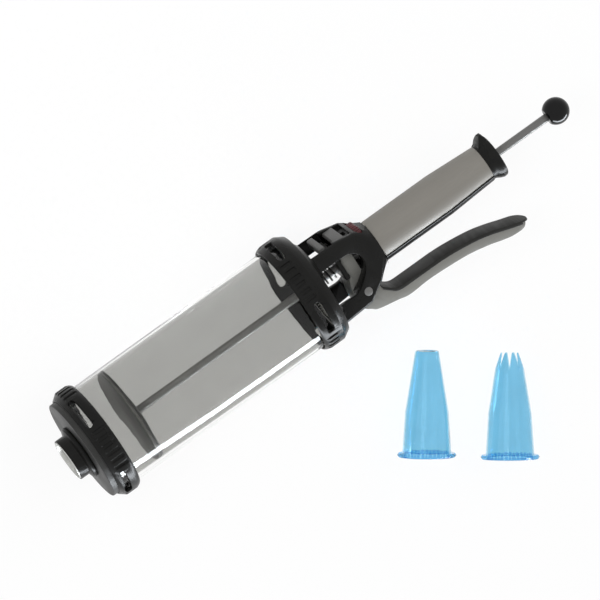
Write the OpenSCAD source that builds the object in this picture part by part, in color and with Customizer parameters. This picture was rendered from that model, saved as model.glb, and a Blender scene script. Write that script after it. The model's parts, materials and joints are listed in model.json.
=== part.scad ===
// Lever pastry syringe lying on its side, with two nozzles beside it.
// Millimetres. The barrel's axis is the X axis, with the nose's front face at X = 0 and the
// knob at the far +X end. +Y is the thumb side of the handle, -Y the lever side, +Z is up.

/* [Barrel] */
// Outside diameter of the clear barrel tube
tube_d = 80; // [76:0.5:84]
// Wall of the barrel tube
tube_wall = 2.5; // [2:0.1:3.5]
// Length of the barrel tube
tube_len = 190; // [150:1:230]
// Thickness of the flat seals at the tube's ends
seal_t = 1; // [0.8:0.1:1.6]
// Height of the bayonet lugs on the tube
lug_h = 1; // [0.8:0.1:1.2]
// Length of the bayonet lugs along the barrel
lug_len = 2.2; // [1.6:0.1:2.6]
// Angle that each bayonet lug covers
lug_span = 30; // [20:1:36]

/* [Collars] */
// Height of both collars over the barrel tube
collar_rise = 4; // [3.5:0.1:7]
// Length of the front collar
front_collar_len = 16.6; // [16:0.1:20]
// Length of the rear collar
rear_collar_len = 22.3; // [21:0.1:28]
// Thickness of the front collar's lip
front_lip_t = 1.9; // [1.4:0.1:2.2]
// Thickness of the rear collar's lip
rear_lip_t = 3.1; // [2.5:0.1:3.6]
// Thickness of the flanges that the lips hold
flange_t = 2; // [1.6:0.1:2.6]
// Width of the front collar's windows along the barrel
front_win_w = 5.2; // [4:0.1:6]
// Width of the rear collar's windows along the barrel
rear_win_w = 5.8; // [4:0.1:6.4]
// Angle that each window covers
win_span = 37; // [25:1:42]
// Turn of the front collar's windows about the barrel
front_win_turn = 36; // [0:1:89]
// Turn of the rear collar's windows about the barrel
rear_win_turn = 11; // [0:1:89]
// Number of windows and of lugs round a collar
win_count = 4; // [3:1:4]
// Number of grip grooves between two windows
groove_count = 6; // [3:1:6]
// Angle from one grip groove to the next
groove_pitch = 8; // [6:0.1:8.4]
// Width of a grip groove
groove_w = 2.6; // [1.4:0.1:3]
// Depth of a grip groove
groove_d = 1; // [0.4:0.1:1.2]

/* [Nose] */
// Length of the nose in front of the front plate
nose_len = 12.2; // [11.5:0.1:16]
// Diameter of the spigot that a nozzle pushes over
spigot_d = 32.6; // [31.6:0.1:32.6]
// Length of the spigot
spigot_len = 7; // [5:0.1:7.4]
// Diameter of the nose's hub
hub_d = 41; // [40:0.5:46]
// Diameter of the neck that the nose ring turns on
neck_d = 36; // [35.5:0.1:36.4]
// Length of the neck
neck_len = 3; // [2.4:0.1:3.2]
// Diameter of the outlet bore
outlet_d = 28.6; // [26:0.1:28.6]
// Wall of the sleeve that lines the spigot
sleeve_wall = 0.95; // [0.8:0.05:1]
// Thickness of the front plate's visible boss
boss_t = 6.4; // [5.5:0.1:8]

/* [Plunger] */
// Distance of the piston's front face from the nose
piston_x = 53.4; // [30:0.1:150]
// Thickness of the piston's front disc
piston_t = 2; // [1.5:0.1:3]
// Diameter of the piston's backing disc
backing_d = 54; // [45:0.5:60]
// Thickness of the backing disc
backing_t = 2.2; // [1.5:0.1:3]
// Diameter of the piston's hub
piston_hub_d = 38; // [26:0.5:42]
// Thickness of the piston's hub
piston_hub_t = 2.6; // [2:0.1:5]
// Diameter of the plunger rod
rod_d = 6; // [5:0.1:7]
// Length of rod seen between the handle and the knob
rod_out = 45.5; // [40:0.1:120]
// Diameter of the ball knob
ball_d = 20; // [15:0.1:24]

/* [Body] */
// Thickness of the body's round head behind the tube
head_t = 9; // [8.5:0.1:12]
// Length of body between the release button and the handle's sleeve
saddle_len = 5.2; // [4.8:0.1:6]
// Width of the frame at the head
frame_w = 42; // [41:0.5:44]
// Height of the frame below the barrel's axis
frame_low = 31.8; // [31:0.1:32.4]
// Height of the frame above the barrel's axis
frame_high = 24.8; // [24.4:0.1:25.2]
// Thickness of the frame's side walls at the head
wall_t = 4; // [3:0.1:5]

/* [Mechanism] */
// Distance of the lever's pin from the head's back
pin_dx = 22.2; // [21.8:0.1:22.6]
// Distance of the lever's pin below the barrel's axis
pin_dy = 20.3; // [20:0.1:20.6]
// Diameter of the lever's pin
pin_d = 6.4; // [5:0.1:6.8]
// Thickness of the drive plate
drive_t = 3.2; // [2.5:0.1:3.6]
// Width of the drive plate
drive_w = 27; // [22:0.5:29]
// Width of the grey tab on the drive plate
tab_w = 27; // [24:0.2:31]
// Outside diameter of the drive spring
spring_d = 12.8; // [11:0.1:13.4]
// Wire of the drive spring
spring_wire = 1.5; // [1:0.1:1.8]
// Number of curls of the drive spring
spring_turns = 4; // [3:1:5]
// Length of the dose slider along the body
slider_len = 9.2; // [8:0.1:10]
// Width of the dose slider
slider_w = 26; // [24:0.5:28]
// Length of the release button along the body
button_len = 4.6; // [4:0.1:5.6]
// Width of the release button across the body
button_w = 27; // [20:0.5:28]
// Thickness of the lock plate
lock_t = 2.4; // [1.8:0.1:2.6]

/* [Lever] */
// Length of the lever from its pin to its tip
lever_len = 127.7; // [120:0.1:132]
// Drop of the lever from its pin to its lowest edge
lever_drop = 35.5; // [34:0.1:37]
// Width of the lever
lever_w = 17.6; // [16:0.1:18]
// Wall of the lever's folded steel
lever_wall = 1.8; // [1.2:0.1:2.2]
// Thickness of the moulded cap over the lever's edges
grip_cap = 1.6; // [1.2:0.1:2.4]
// Hem of the moulded cap down the lever's sides
grip_hem = 1.2; // [0.8:0.1:2]

/* [Handle] */
// Length of the handle's sleeve
grip_len = 96.5; // [80:0.1:110]
// Diameter of the handle at the body
grip_d = 32.2; // [31.6:0.1:33]
// Diameter of the handle at its end cap
grip_end_d = 27.8; // [26:0.1:30]
// Wall of the handle's metal sleeve
sleeve_t = 1.6; // [1:0.1:2]
// Angle of the handle's bare underside strip
strip_span = 110; // [80:1:130]
// Length of the end cap
cap_len = 11; // [10:0.1:14]
// Height of the end cap's thumb rest above the axis
cap_high = 20.4; // [18:0.1:22]

/* [Nozzles] */
// Length of a nozzle
nozzle_len = 76; // [60:0.5:90]
// Diameter of a nozzle's flange
nozzle_flange_d = 42.4; // [41:0.1:46]
// Thickness of a nozzle's flange
nozzle_flange_t = 3; // [2:0.1:4]
// Wall of a nozzle
nozzle_wall = 1; // [0.9:0.05:1.4]
// Diameter of the plain nozzle's tip
tip_d = 17.2; // [12:0.1:20]
// Diameter of the star nozzle across the points of its teeth
star_tip_d = 13; // [11:0.1:15]
// Length of the star nozzle's teeth
tooth_len = 12; // [8:0.5:16]
// Number of the star nozzle's teeth
tooth_count = 8; // [6:1:10]
// Place of the plain nozzle's middle along the barrel
plain_x = 243; // [200:1:260]
// Place of the plain nozzle's middle beside the barrel
plain_y = -136; // [-170:1:-130]
// Place of the star nozzle's middle along the barrel
star_x = 293; // [280:1:340]
// Place of the star nozzle's middle beside the barrel
star_y = -175; // [-200:1:-160]
// Turn of both nozzles on the table
nozzle_turn = 55; // [50:1:60]

/* [Hidden] */

$fn = 96;
// Gap between parts that move past each other, overrun of a cut, and gap of a turning fit
gap = 0.3;
over = 1;
fit = 0.05;
// Step or cut at the edges of moulded parts
bevel = 1;
full_turn = 360;
half_turn = 180;
quarter_turn = 90;

// Stations along the barrel, front to back
boss_x = nose_len;
flange_x = boss_x + boss_t;
tube_x = flange_x + flange_t + seal_t;
tube_end = tube_x + tube_len;
head_x = tube_end + seal_t;
head_back = head_x + head_t;
slider_dx = 20;
slider_x = head_back + slider_dx;
slider_travel = 3.5;
slider_end = slider_x + slider_len + slider_travel;
button_gap = 5;
button_x = slider_end + button_gap;
grip_x = button_x + button_len + saddle_len;
frame_len = grip_x - head_back;
cap_x = grip_x + grip_len;
cap_end = cap_x + cap_len;
front_collar_x = flange_x - gap - front_lip_t;
rear_collar_end = head_x + flange_t + gap + rear_lip_t;

// Radii of the barrel and its collars
tube_r = tube_d / 2;
bore_r = tube_r - tube_wall;
lug_r = tube_r + lug_h;
collar_r = tube_r + collar_rise;
collar_bore = lug_r + gap;
flange_r = collar_bore - gap;
lip_r = tube_r - 2 * gap;
boss_r = lip_r - gap;
rear_lip_r = tube_r - bevel;
head_boss_r = rear_lip_r - gap;
collar_lug_r = tube_r + gap;
win_pitch = full_turn / win_count;
chamfer_share = 0.28;
crown_share = 0.22;

// Nose
spigot_r = spigot_d / 2;
hub_r = hub_d / 2;
neck_r = neck_d / 2;
outlet_r = outlet_d / 2;
sleeve_r = outlet_r + sleeve_wall;
neck_x = boss_x - neck_len;
sleeve_flange_t = 0.7;
ring_x = 0.5;
shoulder_x = neck_x - sleeve_flange_t - fit;
hub_flare = 1.4;

// Plunger
disc_clear = 0.5;
seal_lip_t = 1.6;
seal_lip_depth = 4;
backing_x = piston_x + piston_t;
piston_hub_x = backing_x + backing_t;
rod_r = rod_d / 2;
piston_hub_end = piston_hub_x + piston_hub_t;
ball_r = ball_d / 2;
ball_face = cap_end + rod_out;
ball_neck_share = 0.8;
ball_steps = 30;
ball_x = ball_face + ball_r * ball_neck_share;
rod_end = ball_x - ball_r / 8;

// Body: outlines are shares of the frame's length and of its heights
dome_shares = [[0, 1], [0.22, 0.98], [0.62, 0.89], [1, 0.795]];
head_share = (flange_t - head_t) / frame_len;
low_shares = [[head_share, 1], [0.19, 0.99], [0.31, 0.963], [0.425, 0.935], [0.505, 0.85], [0.57, 0.775],
    [0.67, 0.705], [0.737, 0.66], [0.82, 0.56], [0.92, 0.475], [1, 0.44]];
high_shares = [[1, 0.64], [0.93, 0.655], [0.885, 0.742], [0.8, 0.815], [0.737, 0.863], [0.64, 0.887],
    [0.45, 0.97], [0.23, 1], [head_share, 1]];
window_shares = [[-0.05, -0.53], [0.1, -0.535], [0.29, -0.54], [0.41, -0.46], [0.505, -0.352],
    [0.585, -0.245], [0.645, -0.11], [0.665, 0.022], [0.655, 0.16], [0.615, 0.264], [0.56, 0.32],
    [0.525, 0.358], [0.43, 0.398], [-0.05, 0.4]];
width_shares = [[head_share, 1], [0.42, 1], [0.58, 0.965], [0.72, 0.905], [0.86, 0.84], [1, 0.765]];
// Sections of the frame: shares of its length, low height, high height and half width
section_shares = [[head_share, 1, 1, 1], [0.44, 0.935, 0.976, 1], [0.737, 0.676, 0.871, 0.895]];
frame_r = frame_w / 2;
low_round = 3;
high_round = 5;
edge_facets = 32;
cheek_gap = 1;
cheek_in = lever_w / 2 + cheek_gap;
cheek_dx = 14.6;
cheek_x = head_back + cheek_dx;
web_y = 11.8;
web_top = 18.6;
plate_pocket_dx = 18.6;
plate_pocket_x = head_back + plate_pocket_dx;
track_clear = 1.7;
track_end = slider_end + track_clear;
saddle_dx = 32.6;
saddle_x = head_back + saddle_dx;
notch_dx = 36.4;
notch_y = 14;
rod_clear = 0.6;
boss_recess_r = 12;
recess_edge = 3;
head_skin = 4;
bush_r = 5.4;
bush_len = 5.4;
strip_proud = 0.7;
strip_gap = 0.5;

// Pin, lever and drive
pin_x = head_back + pin_dx;
pin_r = pin_d / 2;
washer_t = 0.5;
washer_r = 5.4;
clip_t = 1;
clip_r = 4.6;
nose_r = 20;
nose_dx = 17.8;
nose_x = head_back + nose_dx;
nose_top = 8;
blade_dx = 28;
blade_back = head_back + blade_dx;
fold_t = 1;
drive_back = nose_x - gap / 2;
drive_x = drive_back - drive_t;
drive_low = 7;
drive_high = 15.8;
drive_hole = rod_r + gap;
tab_low = 1.6;
tab_lean = 6;
tab_top = frame_high;
spring_r = (spring_d - spring_wire) / 2;
spring_dx = 5.9;
spring_x = head_x + spring_dx;
spring_seat_r = spring_d / 2 + bevel;
spring_len = drive_x - spring_x;

// Slider, button and lock
slider_top = 22.5;
slider_slope = 1.6;
tongue_w = 6;
tongue_h = 2;
button_foot = 12.3;
button_travel = 1.5;
button_crown_r = 33;
button_top = 20.2;
button_rib_share = 0.45;
button_rib_d = 0.5;
button_ribs = 9;
lock_dx = 0.7;
lock_x = button_x + lock_dx;
lock_low = 11.2;
lock_high = 14;
lock_w = 12;
lock_foot_r = lock_t / 2;
lock_pocket_dx = 4;
lock_pocket_x = button_x - lock_pocket_dx;
lock_pocket_len = 7.8;
lock_pocket_end = lock_pocket_x + lock_pocket_len;
lock_pocket_w = 14;
lock_spring_r = 4.6;
lock_wire = 0.8;
lock_turns = 2;
wedge_sum = lock_x + lock_t + lock_high + gap;

// Lever: points are shares of its length and of its drop, measured from its pin
lever_r = lever_w / 2;
lever_top_shares = [[0.0916, -0.217], [0.123, -0.324], [0.15, -0.403], [0.182, -0.437], [0.248, -0.442],
    [0.369, -0.442], [0.477, -0.448], [0.59, -0.487], [0.7, -0.549], [0.792, -0.639],
    [0.871, -0.738], [0.931, -0.808], [0.973, -0.865], [1, -0.913]];
lever_low_shares = [[0.978, -0.919], [0.971, -0.957], [0.957, -0.986], [0.935, -0.999], [0.91, -1],
    [0.8825, -0.994], [0.855, -0.98], [0.8, -0.93], [0.74, -0.865], [0.63, -0.777], [0.519, -0.732],
    [0.348, -0.699], [0.2075, -0.722], [0.139, -0.673], [0.099, -0.645], [0.0486, -0.611],
    [0.0023, -0.566], [-0.02, -0.501], [-0.051, -0.414], [-0.0666, -0.301], [-0.0697, -0.161],
    [-0.0658, 0.0085], [-0.0533, 0.1775], [-0.0423, 0.296]];
steel_share = 0.978;
web_share = 0.41;
grip_fill = 6;
grip_side = 1;
grip_tip_share = 0.92;
curve_steps = 5;

// Handle
grip_r = grip_d / 2;
grip_end_r = grip_end_d / 2;
grip_mid_share = 0.6;
grip_bore_r = rod_r + 2;
cap_round = 6.3;
// The end cap's flare: shares of its length and of the handle's end radius
flare_shares = [[0, 1], [0.2, 1.03], [0.43, 1.14], [0.68, 1.22], [0.92, 1.2], [1, 1.13]];
// The thumb rest's outline: shares of the cap's length and of its height
horn_shares = [[0, 0], [0, 0.62], [0.127, 0.64], [0.336, 0.8], [0.582, 0.956], [0.755, 0.995],
    [0.845, 0.975], [0.918, 0.8], [0.99, 0.35], [0.99, 0]];

// Nozzles
floor_z = -collar_r;
nozzle_kink_share = 0.43;
nozzle_fit = 0.1;
base_r = spigot_r + nozzle_wall + nozzle_fit;
kink_r_share = 0.89;
tip_r = tip_d / 2;
nozzle_flange_r = nozzle_flange_d / 2;
star_kink_share = 0.6;
star_shoulder_r = base_r * star_kink_share;
star_tip_r = star_tip_d / 2;
tooth_gap_share = 0.72;

// Local Z runs along the barrel (+X), local X is the thumb side (+Y)
module on_axis(x = 0) {
    translate([x, 0, 0]) rotate([quarter_turn, 0, quarter_turn]) children();
}

// A ring between two stations, given as [radius, station] points
module turned(points) {
    on_axis() rotate_extrude() polygon(points);
}

module ring(x, length, r_in, r_out) {
    turned([[r_in, x], [r_out, x], [r_out, x + length], [r_in, x + length]]);
}

// Equal arcs of a ring, each centred on angle + n * pitch
module arcs(x, length, r_in, r_out, angle, span, count) {
    for (k = [0 : count - 1])
        on_axis() rotate([0, 0, angle + k * full_turn / count - span / 2])
            rotate_extrude(angle = span)
                polygon([[r_in, x], [r_out, x], [r_out, x + length], [r_in, x + length]]);
}

module side_extrude(points, half_w) {
    translate([0, 0, -half_w]) linear_extrude(2 * half_w) polygon(points);
}

// Catmull-Rom curve through the points of an open line, ends included
function spline(p, steps) = [
    for (i = [0 : len(p) - 2]) for (k = [0 : steps - 1])
        let (a = p[max(i - 1, 0)], b = p[i], c = p[i + 1], d = p[min(i + 2, len(p) - 1)], t = k / steps)
        (2 * b + (c - a) * t + (2 * a - 5 * b + 4 * c - d) * t * t
            + (3 * b - a - 3 * c + d) * t * t * t) / 2,
    p[len(p) - 1]];

function scaled(shares, x0, sx, sy) = [for (p = shares) [x0 + p[0] * sx, p[1] * sy]];

// One unbroken wire wound about the barrel's axis, its two ends bent square along the axis
coil_rings = 8;
coil_sides = 6;
function coil_line(x, length, r, turns, wire) =
    let (rise = length - 2 * wire, n = turns * coil_rings)
    concat([[x, r, 0]],
        [for (k = [0 : n]) let (a = k * full_turn / coil_rings)
            [x + wire + k * rise / n, r * cos(a), r * sin(a)]],
        [[x + length, r, 0]]);
function unit(v) = v / norm(v);
function coil_ring(line, k, wire) =
    let (n = len(line), p = line[k],
        ahead = (k == 0 || k == n - 1) ? [1, 0, 0] : unit(line[k + 1] - line[k - 1]),
        out = unit([0, p[1], p[2]]),
        side = unit(cross(ahead, out)),
        away = cross(side, ahead))
    [for (s = [0 : coil_sides - 1]) let (a = s * full_turn / coil_sides)
        p + (away * cos(a) + side * sin(a)) * wire / 2];
function coil_gap(line, wire) =
    min([for (i = [0 : len(line) - 1]) for (j = [i + coil_rings / 2 : 1 : len(line) - 1])
        norm(line[i] - line[j])]) - wire;

module coil(x, length, r, turns, wire) {
    line = coil_line(x, length, r, turns, wire);
    n = len(line);
    points = [for (k = [0 : n - 1]) each coil_ring(line, k, wire)];
    sides = [for (k = [0 : n - 2]) for (s = [0 : coil_sides - 1])
        let (a = k * coil_sides + s, b = k * coil_sides + (s + 1) % coil_sides)
        each [[a, b, b + coil_sides], [a, b + coil_sides, a + coil_sides]]];
    start = [for (s = [1 : coil_sides - 2]) [0, s + 1, s]];
    last = (n - 1) * coil_sides;
    finish = [for (s = [1 : coil_sides - 2]) [last, last + s, last + s + 1]];
    echo(least_gap = coil_gap(line, wire));
    polyhedron(points, concat(sides, start, finish), convexity = turns);
}

// Barrel
module barrel_tube() {
    color([0.8, 0.82, 0.84, 0.35]) union() {
        ring(tube_x, tube_len, bore_r, tube_r);
        arcs(front_lug_x, lug_len, tube_r - tube_wall / 2, lug_r,
            front_win_turn + win_pitch / 2, lug_span, win_count);
        arcs(rear_lug_x, lug_len, tube_r - tube_wall / 2, lug_r,
            rear_win_turn + win_pitch / 2, lug_span, win_count);
    }
}
front_lug_dx = 3.8;
rear_lug_dx = 11.2;
front_lug_x = tube_x + front_lug_dx;
rear_lug_x = tube_end - rear_lug_dx;

module front_seal() {
    color([0.2, 0.2, 0.2]) ring(tube_x - seal_t, seal_t, bore_r, tube_r);
}

module rear_seal() {
    color([0.2, 0.2, 0.2]) ring(tube_end, seal_t, bore_r, tube_r);
}

// Windows with round ends, cut through a collar's wall
module windows(x, width, angle) {
    end = win_span / 2 - asin(width / 2 / collar_r);
    inner = collar_bore - over / 2;
    arcs(x, width, inner, collar_r + over, angle, 2 * end, win_count);
    for (k = [0 : win_count - 1]) for (s = [-1, 1])
        on_axis(x + width / 2) rotate([0, 0, angle + k * win_pitch + s * end])
            translate([inner, 0, 0]) rotate([0, quarter_turn, 0])
                cylinder(h = collar_r + over - inner, r = width / 2 - fit);
}

// A collar seen from its lip, which is at station 0, with its open end at +X
module collar(length, lip_t, lip_bore, lip_outer, lug_x, win_x, win_w, groove_len, turn) {
    chamfer = length * chamfer_share;
    crown = length * crown_share;
    difference() {
        union() {
            turned([[lip_bore, 0], [lip_outer, 0], [collar_r, chamfer], [collar_r, length - crown],
                [collar_r - bevel, length - crown / 3], [lug_r + bevel, length], [collar_bore, length],
                [collar_bore, lip_t], [lip_bore, lip_t]]);
            arcs(lug_x, lug_len, collar_lug_r, collar_bore + bevel,
                turn + win_pitch / 2, lug_span, win_count);
        }
        windows(win_x, win_w, turn);
        for (k = [0 : win_count - 1]) for (g = [0 : groove_count - 1])
            on_axis() rotate([0, 0, turn + (k + 1 / 2) * win_pitch
                    + (g - (groove_count - 1) / 2) * groove_pitch])
                translate([collar_r - groove_d, -groove_w / 2, win_x])
                    cube([2 * groove_d, groove_w, groove_len]);
    }
}

module front_collar() {
    win_x = flange_x + bevel - front_collar_x;
    color([0.12, 0.12, 0.11]) translate([front_collar_x, 0, 0])
        collar(front_collar_len, front_lip_t, lip_r, lip_r + bevel,
            front_lug_x + lug_len + gap - front_collar_x,
            win_x, front_win_w, front_collar_len - win_x - lug_len, front_win_turn);
}

module rear_collar() {
    lug_x = rear_collar_end - rear_lug_x + gap;
    color([0.12, 0.12, 0.11]) translate([rear_collar_end, 0, 0]) mirror([1, 0, 0])
        collar(rear_collar_len, rear_lip_t, rear_lip_r, tube_r + gap, lug_x,
            rear_collar_len / 2, rear_win_w, rear_collar_len / 2 - bevel, rear_win_turn);
}

// Nose
module front_plate() {
    color([0.24, 0.24, 0.24]) difference() {
        turned([[0, neck_x], [neck_r, neck_x], [neck_r, boss_x], [boss_r - bevel / 2, boss_x],
            [boss_r, boss_x + bevel / 2], [boss_r, flange_x], [flange_r, flange_x],
            [flange_r, flange_x + flange_t], [0, flange_x + flange_t]]);
        on_axis(neck_x - over) cylinder(h = tube_x, r = outlet_r);
        ring(boss_x + head_skin, tube_x, neck_r, bore_r - recess_edge);
    }
}

module nose_ring() {
    end = boss_x - gap;
    color([0.12, 0.12, 0.11]) turned([[sleeve_r, ring_x], [spigot_r, ring_x], [spigot_r, ring_x + spigot_len],
        [hub_r - gap, ring_x + spigot_len + hub_flare], [hub_r, ring_x + spigot_len + 2 * hub_flare],
        [hub_r, end], [neck_r + fit, end], [neck_r + fit, shoulder_x], [sleeve_r, shoulder_x]]);
}

module nose_sleeve() {
    color([0.6, 0.6, 0.58]) turned([[outlet_r, 0], [sleeve_r, 0], [sleeve_r, shoulder_x],
        [neck_r - bevel / 2, shoulder_x], [neck_r - bevel / 2, shoulder_x + sleeve_flange_t],
        [outlet_r, shoulder_x + sleeve_flange_t]]);
}

// Plunger
module piston_disc() {
    color([0.28, 0.28, 0.26])
        on_axis(piston_x) cylinder(h = piston_t, r = bore_r - disc_clear);
}

module piston_seal() {
    lip_r_out = bore_r - fit;
    color([0.2, 0.2, 0.19]) turned([[bore_r - seal_lip_depth, backing_x], [bore_r - disc_clear, backing_x],
        [lip_r_out, backing_x + seal_lip_t / 2], [lip_r_out, backing_x + seal_lip_t],
        [bore_r - seal_lip_depth, backing_x + seal_lip_t]]);
}

module piston_backing() {
    color([0.36, 0.36, 0.34]) {
        ring(backing_x, seal_lip_t / 2, rod_r, bore_r - seal_lip_depth);
        ring(backing_x, backing_t, rod_r, backing_d / 2);
    }
}

module piston_hub() {
    color([0.34, 0.34, 0.32]) turned([[rod_r, piston_hub_x], [piston_hub_d / 2, piston_hub_x],
        [piston_hub_d / 2, piston_hub_end - bevel / 2], [piston_hub_d / 2 - bevel / 2, piston_hub_end],
        [rod_r, piston_hub_end]]);
}

module plunger_rod() {
    color([0.45, 0.45, 0.43]) on_axis(backing_x) cylinder(h = rod_end - backing_x, r = rod_r);
}

module ball_knob() {
    from = acos(-ball_neck_share);
    color([0.06, 0.06, 0.06]) turned(concat([[rod_r, ball_face]],
        [for (k = [0 : ball_steps]) let (a = from * (1 - k / ball_steps))
            [ball_r * sin(a), ball_x + ball_r * cos(a)]],
        [[0, rod_end], [rod_r, rod_end]]));
}

// Body
frame_side = concat(spline(scaled(low_shares, head_back, frame_len, -frame_low), curve_steps),
    spline(scaled(high_shares, head_back, frame_len, frame_high), curve_steps));
window_side = spline(scaled(window_shares, head_back, frame_len, frame_low), curve_steps);
frame_top = spline(scaled(width_shares, head_back, frame_len, frame_r), curve_steps);

// The frame's outline seen from the side, cut to its outline seen from above
module frame_shell() {
    plan = concat([for (p = frame_top) [p[0], p[1]]],
        [for (k = [len(frame_top) - 1 : -1 : 0]) [frame_top[k][0], -frame_top[k][1]]]);
    intersection() {
        side_extrude(frame_side, frame_r);
        rotate([quarter_turn, 0, 0]) translate([0, 0, -collar_r])
            linear_extrude(2 * collar_r) polygon(plan);
        hull() {
            for (c = section_shares) for (s = [-1, 1])
                translate([head_back + c[0] * frame_len - over, 0, 0]) rotate([0, quarter_turn, 0]) {
                    translate([s * (c[3] * frame_r - low_round), low_round - c[1] * frame_low, 0])
                        cylinder(h = over, r = low_round, $fn = edge_facets);
                    translate([s * (c[3] * frame_r - high_round), c[2] * frame_high - high_round, 0])
                        cylinder(h = over, r = high_round, $fn = edge_facets);
                }
            translate([grip_x, 0, 0]) rotate([0, quarter_turn, 0])
                cylinder(h = over, r = grip_r, $fn = 2 * edge_facets);
        }
    }
}

module body_head() {
    dome = [for (p = dome_shares) [head_boss_r * p[1], head_x + flange_t + p[0] * (head_t - flange_t)]];
    difference() {
        turned(concat([[0, head_x], [flange_r, head_x], [flange_r, head_x + flange_t]], dome,
            [[0, head_back]]));
        ring(head_x - over, head_t - head_skin, boss_recess_r, bore_r - recess_edge);
    }
}

// Outer line of the handle, moved in by inset
function grip_line(inset) = [[grip_r - inset, grip_x],
    [grip_r - inset, grip_x + grip_len * grip_mid_share], [grip_end_r - inset, cap_x]];

module body_frame() {
    slot_low = frame_low + over;
    color([0.12, 0.12, 0.11]) difference() {
        union() {
            body_head();
            frame_shell();
            turned(concat([[0, grip_x - over]], grip_line(sleeve_t), [[0, cap_x]]));
            on_axis() rotate([0, 0, half_turn - strip_span / 2 + strip_gap])
                rotate_extrude(angle = strip_span - 2 * strip_gap)
                    polygon(concat([[grip_bore_r + over, grip_x - over]], grip_line(-strip_proud),
                        [[grip_bore_r + over, cap_x]]));
        }
        side_extrude(window_side, collar_r);
        // Open space between the side walls, in front and above the drive plate's pocket
        translate([head_back, -slot_low, wall_t - frame_r])
            cube([cheek_x - head_back, slot_low + frame_high + over, 2 * (frame_r - wall_t)]);
        translate([head_back, -drive_low - over, wall_t - frame_r])
            cube([plate_pocket_x - head_back, drive_low + frame_high + 2 * over, 2 * (frame_r - wall_t)]);
        // Slot for the lever's cheeks, with a notch for its neck
        translate([head_back, -slot_low, -cheek_in])
            cube([saddle_x - head_back, slot_low + web_y, 2 * cheek_in]);
        translate([head_back, -slot_low, -cheek_in])
            cube([notch_dx, slot_low - notch_y, 2 * cheek_in]);
        // Track and groove of the dose slider
        translate([plate_pocket_x - over, web_top, -slider_w / 2 - gap])
            cube([track_end - plate_pocket_x + over, frame_high, slider_w + 2 * gap]);
        translate([slider_x - gap, web_top - tongue_h - gap, -tongue_w / 2 - gap])
            cube([slider_len + slider_travel + 2 * gap, tongue_h + over, tongue_w + 2 * gap]);
        // Well of the release button, and pocket of the lock plate under it
        button_bar(button_len + 2 * gap, button_w + 2 * gap, button_foot - button_travel - gap,
            frame_high + over);
        translate([lock_pocket_x, -lock_low - lock_foot_r - gap, -lock_pocket_w / 2])
            cube([lock_pocket_len, lock_low + lock_foot_r + lock_high + 2 * gap, lock_pocket_w]);
        // Rod, its bushes and the spring's seat
        on_axis(head_x - over) cylinder(h = cap_end - head_x, r = rod_r + rod_clear);
        on_axis(head_x - over) cylinder(h = bush_len + over, r = bush_r);
        on_axis(spring_x) cylinder(h = head_t, r = spring_seat_r);
        on_axis(lock_pocket_end + head_skin) cylinder(h = cap_x - lock_pocket_end, r = grip_bore_r);
        translate([pin_x, -pin_dy, -frame_r - over]) cylinder(h = frame_w + 2 * over, r = pin_r);
    }
}

// A bar across the body with round ends, standing between two heights
module button_bar(length, width, y_low, y_high) {
    mid = button_x + button_len / 2;
    reach = (width - length) / 2;
    translate([mid, y_low, 0]) rotate([-quarter_turn, 0, 0]) {
        translate([-length / 2, -reach, 0]) cube([length, 2 * reach, y_high - y_low]);
        for (s = [-1, 1])
            translate([0, s * reach, 0]) cylinder(h = y_high - y_low, r = length / 2);
    }
}

module rod_bushes() {
    color([0.75, 0.75, 0.72]) {
        ring(head_x, bush_len, rod_r + fit, bush_r);
        ring(cap_end - bush_len, bush_len, rod_r + fit, bush_r);
    }
}

module drive_spring() {
    color([0.6, 0.6, 0.58]) coil(spring_x + fit, spring_len - 2 * fit, spring_r, spring_turns, spring_wire);
}

module drive_plate() {
    color([0.1, 0.1, 0.1]) difference() {
        translate([drive_x, -drive_low, -drive_w / 2])
            cube([drive_t, drive_low + drive_high, drive_w]);
        on_axis(drive_x - over) cylinder(h = drive_t + 2 * over, r = drive_hole);
    }
}

// The tab stands on the drive plate and leans towards the barrel
module drive_tab() {
    lean_x = drive_x - tab_lean;
    color([0.42, 0.42, 0.4])
        side_extrude([[drive_x - fit, drive_high], [drive_back, drive_high],
            [drive_back, drive_high + tab_low], [drive_x - tab_lean / 3, drive_high + 2 * tab_low],
            [drive_x - bevel, tab_top - bevel / 2], [drive_x - 3 * bevel / 2, tab_top],
            [lean_x + bevel, tab_top], [lean_x, tab_top - bevel], [lean_x, drive_high + 2 * tab_low],
            [drive_x - bevel, drive_high + tab_low]], tab_w / 2);
}

module dose_slider() {
    foot = web_top + gap / 2;
    back = slider_x + slider_len;
    color([0.45, 0.45, 0.43]) {
        side_extrude([[slider_x, foot], [back + slider_slope / 2, foot],
            [back, slider_top - bevel / 2], [back - bevel / 2, slider_top],
            [slider_x + slider_slope, slider_top], [slider_x, slider_top - slider_slope]], slider_w / 2);
        translate([slider_x, foot - tongue_h, -tongue_w / 2])
            cube([slider_len, tongue_h + bevel, tongue_w]);
    }
}

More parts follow.
